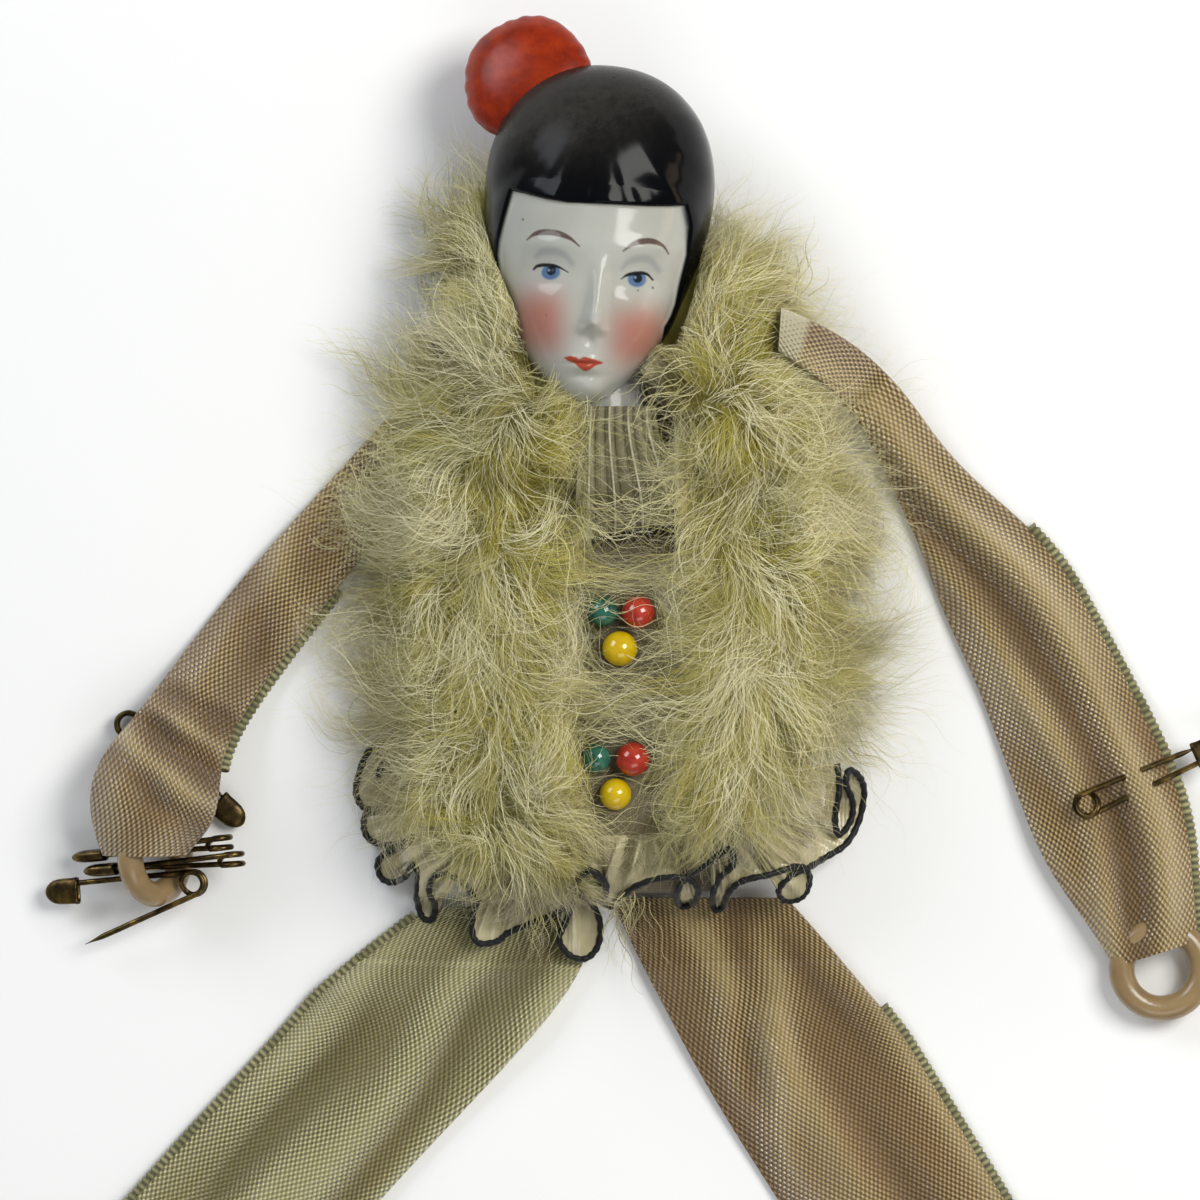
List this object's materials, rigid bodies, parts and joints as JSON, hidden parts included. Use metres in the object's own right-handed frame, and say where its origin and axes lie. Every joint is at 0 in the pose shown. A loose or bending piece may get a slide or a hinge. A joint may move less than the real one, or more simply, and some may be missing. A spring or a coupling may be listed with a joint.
{
  "type": "porcelain pierrot pin doll",
  "caption": "Small ribbon-bodied pierrot doll with a glazed porcelain head, down collar, beads, hem frill, and rings that hold safety pins.",
  "frame": {"origin": "on the surface under the doll, at the middle of the flat back of the body", "axes": "+Z out of the chest, +Y towards the head, +X to the viewer's right as it lies on its back"},
  "size_m": [0.1472, 0.1827, 0.0255],
  "materials": {
    "glazed_porcelain": "gloss",
    "red_glaze": "gloss",
    "marabou_down": "fluffy",
    "champagne_ribbon": "satin",
    "sheer_ribbon": "sheer",
    "tan_ribbon": "satin",
    "green_ribbon": "satin",
    "cotton_wadding": "matte",
    "linen_thread": "matte",
    "celluloid": "polished",
    "bronzed_wire": "tarnished",
    "glass_green": "gloss",
    "glass_red": "gloss",
    "glass_yellow": "gloss"
  },
  "bodies": {
    "torso": {"cover_back": "champagne_ribbon", "stuffing_pad": "cotton_wadding", "cover_front": "champagne_ribbon", "neck_sleeve": "champagne_ribbon", "neck_binding": "linen_thread", "fur_left": "marabou_down", "fur_right": "marabou_down", "fur_nape": "marabou_down", "neck_frill": "sheer_ribbon", "bead_upper_green": "glass_green", "bead_upper_red": "glass_red", "bead_upper_yellow": "glass_yellow", "bead_lower_green": "glass_green", "bead_lower_red": "glass_red", "bead_lower_yellow": "glass_yellow", "hem_frill": "champagne_ribbon", "arm_left_root": "tan_ribbon", "arm_right_root": "tan_ribbon", "leg_left_root": "green_ribbon", "leg_right_root": "tan_ribbon"},
    "head": {"porcelain_head": "glazed_porcelain", "pompom": "red_glaze"},
    "arm_left": {"arm_left": "tan_ribbon", "pin_1_wire": "bronzed_wire", "pin_1_cap": "bronzed_wire", "pin_2_wire": "bronzed_wire", "pin_2_cap": "bronzed_wire", "pin_3_wire": "bronzed_wire", "pin_3_cap": "bronzed_wire", "pin_4_wire": "bronzed_wire", "pin_4_cap": "bronzed_wire"},
    "ring_arm_left": {"ring_arm_left": "celluloid"},
    "pin_1_arm": {"pin_1_arm": "bronzed_wire"},
    "pin_2_arm": {"pin_2_arm": "bronzed_wire"},
    "pin_3_arm": {"pin_3_arm": "bronzed_wire"},
    "pin_4_arm": {"pin_4_arm": "bronzed_wire"},
    "arm_right": {"arm_right": "tan_ribbon", "pin_5_wire": "bronzed_wire", "pin_5_cap": "bronzed_wire"},
    "ring_arm_right": {"ring_arm_right": "celluloid"},
    "pin_5_arm": {"pin_5_arm": "bronzed_wire"},
    "leg_left": {"leg_left": "green_ribbon"},
    "ring_leg_left": {"ring_leg_left": "celluloid"},
    "leg_right": {"leg_right": "tan_ribbon"},
    "ring_leg_right": {"ring_leg_right": "celluloid"}
  },
  "joints": [
    {"name": "head_turn", "type": "hinge", "parent": "torso", "child": "head", "pos_m": [-0.0005, 0.022, 0.009], "axis": [0, 1, 0], "range_deg": [-12, 12]},
    {"name": "shoulder_left", "type": "hinge", "parent": "torso", "child": "arm_left", "pos_m": [-0.0284, 0.0176, 0.0015], "axis": [-0.766, 0.6428, 0], "range_deg": [0, 70]},
    {"name": "shoulder_right", "type": "hinge", "parent": "torso", "child": "arm_right", "pos_m": [0.0334, 0.0284, 0.0015], "axis": [-0.848, -0.5299, 0], "range_deg": [0, 70]},
    {"name": "hip_left", "type": "hinge", "parent": "torso", "child": "leg_left", "pos_m": [-0.016, -0.03655, 0.0015], "axis": [-1, 0, 0], "range_deg": [0, 70]},
    {"name": "hip_right", "type": "hinge", "parent": "torso", "child": "leg_right", "pos_m": [0.0162, -0.03655, 0.0015], "axis": [-1, 0, 0], "range_deg": [0, 70]},
    {"name": "ring_arm_left_spin", "type": "hinge", "parent": "arm_left", "child": "ring_arm_left", "pos_m": [-0.05212, -0.02344, 0.00527], "axis": [0.8192, 0, 0.5736], "continuous": true},
    {"name": "ring_arm_right_spin", "type": "hinge", "parent": "arm_right", "child": "ring_arm_right", "pos_m": [0.0635, -0.03669, 0.0027], "axis": [0, 0, 1], "continuous": true},
    {"name": "ring_leg_left_spin", "type": "hinge", "parent": "leg_left", "child": "ring_leg_left", "pos_m": [-0.07008, -0.09536, 0.0027], "axis": [0, 0, 1], "continuous": true},
    {"name": "ring_leg_right_spin", "type": "hinge", "parent": "leg_right", "child": "ring_leg_right", "pos_m": [0.05878, -0.10416, 0.0027], "axis": [0, 0, 1], "continuous": true},
    {"name": "pin_1_open", "type": "hinge", "parent": "arm_left", "child": "pin_1_arm", "pos_m": [-0.04479, -0.02217, 0.0056], "axis": [-0.1045, 0.9945, 0], "range_deg": [-2, 0], "stiffness_Nm_per_rad": 0.0002},
    {"name": "pin_2_open", "type": "hinge", "parent": "arm_left", "child": "pin_2_arm", "pos_m": [-0.04341, -0.02402, 0.00597], "axis": [-0.0872, 0.9962, 0], "range_deg": [-2, 0], "stiffness_Nm_per_rad": 0.0002},
    {"name": "pin_3_open", "type": "hinge", "parent": "arm_left", "child": "pin_3_arm", "pos_m": [-0.04782, -0.02678, 0.00562], "axis": [-0.1903, -0.0133, 0.9816], "range_deg": [0, 12], "stiffness_Nm_per_rad": 0.0002},
    {"name": "pin_4_open", "type": "hinge", "parent": "arm_left", "child": "pin_4_arm", "pos_m": [-0.05552, -0.00864, 0.00129], "axis": [0, 0, 1], "range_deg": [-2, 0], "stiffness_Nm_per_rad": 0.0002},
    {"name": "pin_5_open", "type": "hinge", "parent": "arm_right", "child": "pin_5_arm", "pos_m": [0.05474, -0.01776, 0.00447], "axis": [0, 0, 1], "range_deg": [-2, 0], "stiffness_Nm_per_rad": 0.0002}
  ]
}
